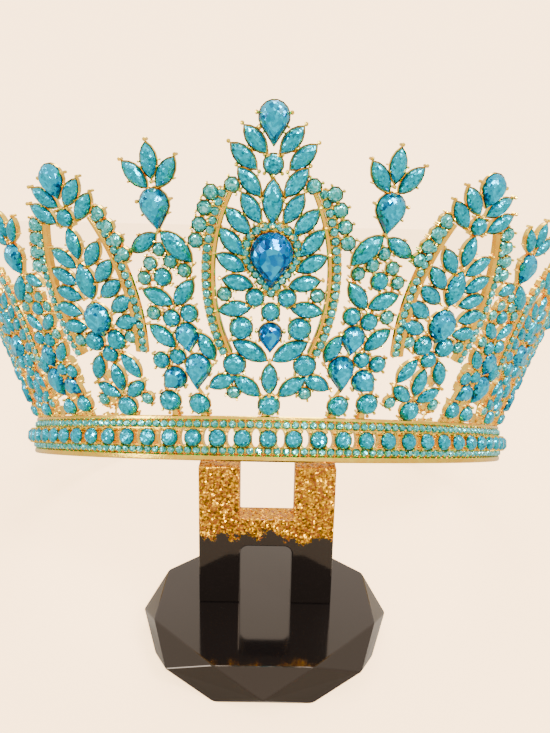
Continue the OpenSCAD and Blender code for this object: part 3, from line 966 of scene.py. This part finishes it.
def bar_arc(bm, place, middle, radius, low, high, width, bottom, top, steps):
    """A bar with eased edges, bent round a middle."""
    ease_share = 0.22
    ease = min(width, top - bottom) * ease_share
    half = width / 2
    profile = [
        (-half, bottom + ease), (-half, top - ease), (-half + ease, top), (half - ease, top),
        (half, top - ease), (half, bottom + ease), (half - ease, bottom), (-half + ease, bottom)]
    start = Vector((math.cos(low), math.sin(low), 0))
    verts = [
        bm.verts.new(place @ (Vector((*middle, z)) + start * (radius + x)))
        for x, z in profile]
    face = bm.faces.new(verts)
    bmesh.ops.spin(
        bm, geom=[face, *face.edges, *face.verts], cent=place @ Vector((*middle, 0)),
        axis=place.to_3x3() @ Vector((0, 0, 1)), angle=high - low, steps=steps, use_duplicate=False)


# An arch's two bars: how far outside the strip's centre line, width, back and front.
ARCH_BARS = ((-0.00095, 0.0011, -0.0015, 0.0005), (PAVE_OUT, 0.0019, -0.0013, -0.0001))


def arch_metal(bm, panel, sizes, deepen):
    """Both sides of an arch: a bar at its inner edge and one under its small stones."""
    first = len(bm.faces)
    x, y, radius, low, high = arch_strip(panel, sizes)
    for side in (1, -1):
        start, end = (low, high) if side > 0 else (math.pi - high, math.pi - low)
        for out, width, back, front in ARCH_BARS:
            bar_arc(bm, panel.place, (side * x, y), radius + out, start, end, width, back, front, 28)
    # Painted shade: the arch bars' faces are marked so that the gold on them is darker and more orange.
    for face in list(bm.faces)[first:]:
        face[deepen] = 1.0


def pave_beads(bm, panel, stone):
    """Four small beads that hold one of an arch's small stones."""
    reach, lift, size = stone.length * 0.6, 0.0003, 0.00024
    for i in range(4):
        turn = math.pi / 4 * (2 * i + 1)
        spot = Vector((reach * math.cos(turn), reach * math.sin(turn), lift))
        bead(bm, stone_place(panel, stone) @ spot, size)


def panel_metal(panel, sizes, settings, cups):
    """A panel's openwork: a cup for each stone, links between them, rails and feet."""
    bm = bmesh.new()
    stones = list(panel.stones)
    for stone in stones:
        put(bm, cups.get(stone.kind, stone.length, stone.width), stone_place(panel, stone))
    extra = []
    # A face layer that marks where painted shade darkens the gold.
    deepen = bm.faces.layers.float.new("deepen")
    if panel.arch:
        arch_metal(bm, panel, sizes, deepen)
        extra = pave_stones(panel, sizes, settings)
        for stone in extra:
            pave_beads(bm, panel, stone)
    if panel.name == "centre":
        halo = halo_stones(panel, settings)
        for stone in halo:
            cup_mesh = cups.get(stone.kind, stone.length, stone.width)
            put(bm, cup_mesh, stone_place(panel, stone, -HALO_DROP))
        extra = extra + halo
    for p, q in bridges(stones + extra):
        bridge(bm, panel, p, q, settings)
    foot_reach = 0.0026
    for stone in stones:
        low_spot = min(spots(stone), key=lambda spot: spot[1])
        if low_spot[1] < foot_reach:
            foot(bm, panel, stone, low_spot, settings)
    return as_mesh(panel.name, bm)


def band_metal(sizes, settings):
    """The band: two rails, two strips, a slotted plate and a cup for each middle stone."""
    crown = worn(sizes)
    bm = bmesh.new()
    inner = sizes.band_d / 2
    start, end = -math.pi / 2 - sizes.arc_end, -math.pi / 2 + sizes.arc_end
    rail = inner + sizes.rail_t / 2
    top = sizes.band_h
    low_row, high_row = row_heights(sizes, settings)
    strip_t, strip_half, strip_cover, cup_depth, steps = 0.0017, 0.001, 0.0016, 0.0022, 160
    for bottom, height in ((0, sizes.rail_h), (top - sizes.top_rail_h, sizes.top_rail_h)):
        bar_arc(bm, crown, (0, 0), rail, start, end, sizes.rail_t, bottom, bottom + height, steps)
    for z in (low_row, high_row):
        bar_arc(bm, crown, (0, 0), rail, start, end, strip_t, z - strip_half, z + strip_half, steps)
    cup_mesh = cup(ROUND, settings.mid_stone, settings.mid_stone, settings, cup_depth)
    for angle in mid_angles(sizes):
        put(bm, cup_mesh, crown @ on_ring(angle, mid_radius(sizes), top / 2))
    bpy.data.meshes.remove(cup_mesh)
    half_step = sizes.arc_end / (sizes.slots + 1)
    plate = slot_plate(sizes, settings, high_row - low_row - strip_cover)
    plate_radius = row_radius(sizes) - PLATE_IN
    for angle in mid_angles(sizes)[:-1]:
        put(bm, plate, crown @ on_ring(angle + half_step, plate_radius, (low_row + high_row) / 2))
    bpy.data.meshes.remove(plate)
    bead_out, bead_up, bead_size = 0.0002, 0.00062, 0.0003
    for z in (low_row, high_row):
        for angle in row_angles(sizes, settings, shift=0.5):
            for up in (bead_up, -bead_up):
                spot = crown @ on_ring(angle, row_radius(sizes) + bead_out, z + up)
                bead(bm, spot.translation, bead_size)
    return as_mesh("band", bm)


# How far the slotted plate lies behind the small rows, and its thickness.
PLATE_IN = 0.0001
PLATE_T = 0.0016


def slot_plate(sizes, settings, height):
    """A plate of the band as wide as one pitch, with one oval slot through it."""
    bm = bmesh.new()
    pitch = 2 * sizes.arc_end / (sizes.slots + 1) * (row_radius(sizes) + PLATE_IN)
    oval = bmesh.ops.create_circle(bm, cap_ends=False, segments=20, radius=0.5)["verts"]
    bmesh.ops.scale(bm, vec=(settings.slot_w, settings.slot_h, 1), verts=oval)
    for vert in verts_of(bmesh.ops.extrude_edge_only(bm, edges=bm.edges[:])["geom"]):
        vert.co /= max(2 * abs(vert.co.x) / pitch, 2 * abs(vert.co.y) / height)
    deep = bmesh.ops.extrude_face_region(bm, geom=bm.faces[:])["geom"]
    bmesh.ops.translate(bm, vec=(0, 0, -PLATE_T), verts=verts_of(deep))
    bmesh.ops.recalc_face_normals(bm, faces=bm.faces)
    return as_mesh("slot_plate", bm)


def row_heights(sizes, settings):
    """The heights of the two small rows, against the rails."""
    reach = settings.row_stone / 2
    return sizes.rail_h + reach, sizes.band_h - sizes.top_rail_h - reach


def mid_radius(sizes):
    """Where the middle row's stones start, proud of the small rows."""
    proud = 0.0008
    return sizes.band_d / 2 + sizes.rail_t + proud


def row_radius(sizes):
    """Where the small rows' stones start."""
    sunk = 0.00035
    return sizes.band_d / 2 + sizes.rail_t - sunk


def mid_angles(sizes):
    """Angles of the middle row's stones, one between each two slots."""
    step = 2 * sizes.arc_end / (sizes.slots + 1)
    half = sizes.slots // 2
    return [i * step for i in range(-half, half + 1)]


def row_angles(sizes, settings, shift=0.0):
    """Angles of the small rows' stones, or with a shift the places between them."""
    step = settings.row_pitch / row_radius(sizes)
    half = int((sizes.arc_end - step) / step)
    return [(i + shift) * step for i in range(-half, half + (0 if shift else 1))]


def eased_copy(node, offset):
    """A CAD node's mesh, merged, with its edges eased."""
    flat, sharp = math.radians(1), math.radians(12)
    bm = bmesh.new()
    bm.from_mesh(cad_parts[node].data)
    bmesh.ops.remove_doubles(bm, verts=bm.verts, dist=1e-6)
    bmesh.ops.dissolve_limit(bm, angle_limit=flat, verts=bm.verts, edges=bm.edges)
    edges = [e for e in bm.edges if len(e.link_faces) == 2 and e.calc_face_angle() > sharp]
    bmesh.ops.bevel(
        bm, geom=edges, offset=offset, offset_type="OFFSET", segments=2,
        affect="EDGES", profile=0.5, material=-1, clamp_overlap=True)
    return as_mesh(node, bm)


class CROWN_OT_materials(bpy.types.Operator):
    """Makes the plated metal, the foiled stones and the resin"""

    bl_idname = "crown.materials"
    bl_label = "Crown Materials"

    def execute(self, context):
        make_materials(context.scene.crown_colours)
        return {"FINISHED"}


class CROWN_OT_band(bpy.types.Operator):
    """Makes the band's rails, strips, slotted plate, cups and beads"""

    bl_idname = "crown.band"
    bl_label = "Band"

    def execute(self, context):
        scene = context.scene
        mesh = band_metal(scene.crown_sizes, scene.setting_sizes)
        new_piece("band_metal", mesh, "plated_gold", ["band"], smooth=35)
        return {"FINISHED"}


class CROWN_OT_band_stones(bpy.types.Operator):
    """Sets the band's middle row and its two rows of small pale stones"""

    bl_idname = "crown.band_stones"
    bl_label = "Band Stones"

    def execute(self, context):
        sizes, settings = context.scene.crown_sizes, context.scene.setting_sizes
        crown = worn(sizes)
        mid = Stone(ROUND, 0, 0, settings.mid_stone, settings.mid_stone, 0)
        places = [crown @ on_ring(a, mid_radius(sizes), sizes.band_h / 2) for a in mid_angles(sizes)]
        gem_piece("band_middle_stones", [(mid, p) for p in places], "cut_aqua", seed=11)
        small = Stone(SMALL, 0, 0, settings.row_stone, settings.row_stone, 0)
        for word, z, seed in zip(("lower", "upper"), row_heights(sizes, settings), (12, 13)):
            places = [crown @ on_ring(a, row_radius(sizes), z) for a in row_angles(sizes, settings)]
            gem_piece(f"band_{word}_stones", [(small, p) for p in places], "cut_pale", seed)
        return {"FINISHED"}


class CROWN_OT_panels(bpy.types.Operator):
    """Makes the openwork of every panel: cups, prongs, links and rails"""

    bl_idname = "crown.panels"
    bl_label = "Panels"

    def execute(self, context):
        sizes, settings = context.scene.crown_sizes, context.scene.setting_sizes
        cups = Parts(lambda kind, length, width: cup(kind, length, width, settings))
        for panel in all_panels(sizes, settings):
            node = "centre_panel" if panel.name == "centre" else panel.name
            mesh = panel_metal(panel, sizes, settings, cups)
            new_piece(panel.name + "_setting", mesh, "plated_gold", [node], smooth=35)
        cups.drop()
        return {"FINISHED"}


class CROWN_OT_stones(bpy.types.Operator):
    """Sets the cut stones of every panel"""

    bl_idname = "crown.stones"
    bl_label = "Panel Stones"

    def execute(self, context):
        sizes, settings = context.scene.crown_sizes, context.scene.setting_sizes
        panels = all_panels(sizes, settings)
        rear = {"left": [], "right": []}
        for seed, panel in enumerate(panels, 20):
            gems = [(s, stone_place(panel, s)) for s in panel.stones]
            pale = [g for g in gems if g[0].kind == SMALL]
            if panel.arch:
                pale += [(s, stone_place(panel, s)) for s in pave_stones(panel, sizes, settings)]
            if panel.name == "centre":
                pale += [(s, stone_place(panel, s, -HALO_DROP)) for s in halo_stones(panel, settings)]
                top = max(gems, key=lambda gem: gem[0].y)
                gems.remove(top)
                gem_piece("centre_top_pear", [top], "cut_azure", seed + 100)
                for kind, word, material, slot in (
                    (PEAR, "pears", "cut_blue", "deep_blue_stone"),
                    (MARQUISE, "marquises", "cut_aqua", "aqua_stone"),
                    (ROUND, "rounds", "cut_aqua", "aqua_stone"),
                ):
                    chosen = [g for g in gems if g[0].kind == kind]
                    gem_piece("centre_cut_" + word, chosen, material, seed, ["centre_" + word])
            elif panel.name.startswith("rear"):
                rear[panel.name.split("_")[-1]] += [g for g in gems if g[0].kind != SMALL]
            else:
                node = panel.name + "_stones"
                blue = [g for g in gems if g[0].kind == PEAR]
                aqua = [g for g in gems if g[0].kind in (MARQUISE, ROUND)]
                gem_piece(panel.name + "_aqua", aqua, "cut_aqua", seed, [node])
                gem_piece(panel.name + "_blue", blue, "cut_azure", seed + 100)
            gem_piece(panel.name + "_pale", pale, "cut_pale", seed + 200)
        for seed, (word, gems) in enumerate(rear.items(), 60):
            gem_piece(f"rear_{word}_aqua", gems, "cut_aqua", seed, [f"rear_{word}_stones"])
        return {"FINISHED"}


class CROWN_OT_stand(bpy.types.Operator):
    """Makes the resin base and the two-pronged plate, with eased edges"""

    bl_idname = "crown.stand"
    bl_label = "Stand"

    def execute(self, context):
        base = eased_copy("stand_base", 0.00025)
        new_piece("base_block", base, "plain_resin", ["stand_base"], smooth=8)
        plate = eased_copy("stand_plate", 0.0003)
        new_piece("plate_block", plate, "flaked_resin", ["stand_plate"], smooth=20)
        return {"FINISHED"}


class CROWN_OT_stage(bpy.types.Operator):
    """Lays the pale floor, and places the lights and the camera"""

    bl_idname = "crown.stage"
    bl_label = "Stage"

    def execute(self, context):
        colours = context.scene.crown_colours
        make_floor(colours)
        make_world()
        make_lights()
        make_camera(context.scene.crown_sizes)
        return {"FINISHED"}


def make_floor(colours):
    """A wide pale floor, lit a little more to the eye than the part is."""
    bm = bmesh.new()
    bmesh.ops.create_grid(bm, x_segments=1, y_segments=1, size=6.0)
    floor = bpy.data.objects.new("floor", as_mesh("floor", bm))
    material = bpy.data.materials.new("pale_floor")
    material.use_nodes = True
    tree = material.node_tree
    shader = tree.nodes["Principled BSDF"]
    seen = tree.nodes.new("ShaderNodeLightPath").outputs["Is Camera Ray"]
    pale, glow, glow_seen, glow_least = (0.9, 0.62, 0.36, 1), (1.0, 0.66, 0.35, 1), 3.9, 0.06
    tree.links.new(mixed(tree, seen, plain(colours.floor), pale), shader.inputs["Base Color"])
    set_plain(shader, {"Roughness": 0.9, "Specular IOR Level": 0.0, "Emission Color": glow})
    strength = calculated(tree, "MULTIPLY_ADD", seen, glow_seen, glow_least)
    tree.links.new(strength, shader.inputs["Emission Strength"])
    floor.data.materials.append(material)
    bpy.context.scene.collection.objects.link(floor)


def make_world():
    """A bright cream room to the eye, and one with darker sides for the reflections."""
    world = bpy.data.worlds.new("room")
    bpy.context.scene.world = world
    world.use_nodes = True
    tree = world.node_tree
    back = tree.nodes["Background"]
    seen = tree.nodes.new("ShaderNodeLightPath").outputs["Is Camera Ray"]
    height = split(tree, "XYZ", object_place(tree))[2]
    sides, above, cream = (1.05, 0.93, 0.8, 1), (1.62, 1.44, 1.26, 1), (6.2, 4.1, 2.25, 1)
    room = mixed(tree, stepped(tree, height, -0.1, 0.7), sides, above)
    tree.links.new(mixed(tree, seen, room, cream), back.inputs["Color"])


def make_lights():
    """A wide soft light above the front, and small ones that glint in the stones."""
    for name, place, aim, size, power, tint in (
        ("soft_key", (0.55, -0.6, 0.75), (0, 0, 0.06), 0.35, 10, (1, 0.98, 0.95)),
        ("soft_fill", (-0.8, -0.4, 0.35), (0, 0, 0.05), 0.35, 4, (1, 0.98, 0.96)),
        ("back_light", (0.1, 0.45, 0.95), (0, 0, 0.06), 0.5, 7, (1, 0.98, 0.95)),
        ("glint", (0.12, -0.5, 0.38), (0, -0.05, 0.08), 0.05, 1.8, (1, 1, 1)),
    ):
        lamp = bpy.data.lights.new(name, "AREA")
        lamp.shape = "DISK"
        lamp.size = size
        lamp.energy = power
        lamp.color = tint
        light = bpy.data.objects.new(name, lamp)
        light.location = place
        light.rotation_euler = (Vector(aim) - Vector(place)).to_track_quat("-Z", "Y").to_euler()
        bpy.context.scene.collection.objects.link(light)


def make_camera(sizes):
    """The camera at the photograph's place: close, and level with the band's middle row."""
    away, pitch, turned, rolled = 0.2318, math.radians(96.64), math.radians(-0.5), math.radians(1.12)
    lens = bpy.data.cameras.new("camera")
    lens.lens = 30.7
    lens.sensor_width = 36
    lens.clip_start = 0.01
    camera = bpy.data.objects.new("camera", lens)
    camera.matrix_world = (
        worn(sizes)
        @ Matrix.Translation((0, -away, sizes.band_h / 2))
        @ Matrix.Rotation(pitch, 4, "X")
        @ Matrix.Rotation(turned, 4, "Y")
        @ Matrix.Rotation(rolled, 4, "Z")
    )
    bpy.context.scene.collection.objects.link(camera)
    bpy.context.scene.camera = camera


class CROWN_PT_panel(bpy.types.Panel):
    """Lists the crown's steps and sizes."""

    bl_idname = "CROWN_PT_panel"
    bl_label = "Pageant Crown"
    bl_space_type = "VIEW_3D"
    bl_region_type = "UI"
    bl_category = "Crown"

    def draw(self, context):
        layout = self.layout
        for step in STEPS:
            layout.operator(step.bl_idname)
        for group in (context.scene.crown_sizes, context.scene.setting_sizes, context.scene.crown_colours):
            box = layout.box()
            for name in group.__annotations__:
                box.prop(group, name)


STEPS = (
    CROWN_OT_materials,
    CROWN_OT_stage,
    CROWN_OT_band,
    CROWN_OT_band_stones,
    CROWN_OT_panels,
    CROWN_OT_stones,
    CROWN_OT_stand,
)
GROUPS = {"crown_sizes": CrownSizes, "setting_sizes": SettingSizes, "crown_colours": CrownColours}


def register():
    """Adds the classes, and the properties to the scene."""
    for cls in (*GROUPS.values(), *STEPS, CROWN_PT_panel):
        bpy.utils.register_class(cls)
    for name, cls in GROUPS.items():
        setattr(bpy.types.Scene, name, PointerProperty(type=cls))


def unregister():
    """Takes them out again."""
    for name in GROUPS:
        delattr(bpy.types.Scene, name)
    for cls in reversed((*GROUPS.values(), *STEPS, CROWN_PT_panel)):
        bpy.utils.unregister_class(cls)


def main():
    """Makes every piece in order."""
    register()
    bpy.ops.crown.materials()
    bpy.ops.crown.stage()
    bpy.ops.crown.band()
    bpy.ops.crown.band_stones()
    bpy.ops.crown.panels()
    bpy.ops.crown.stones()
    bpy.ops.crown.stand()


if __name__ == "__main__":
    main()
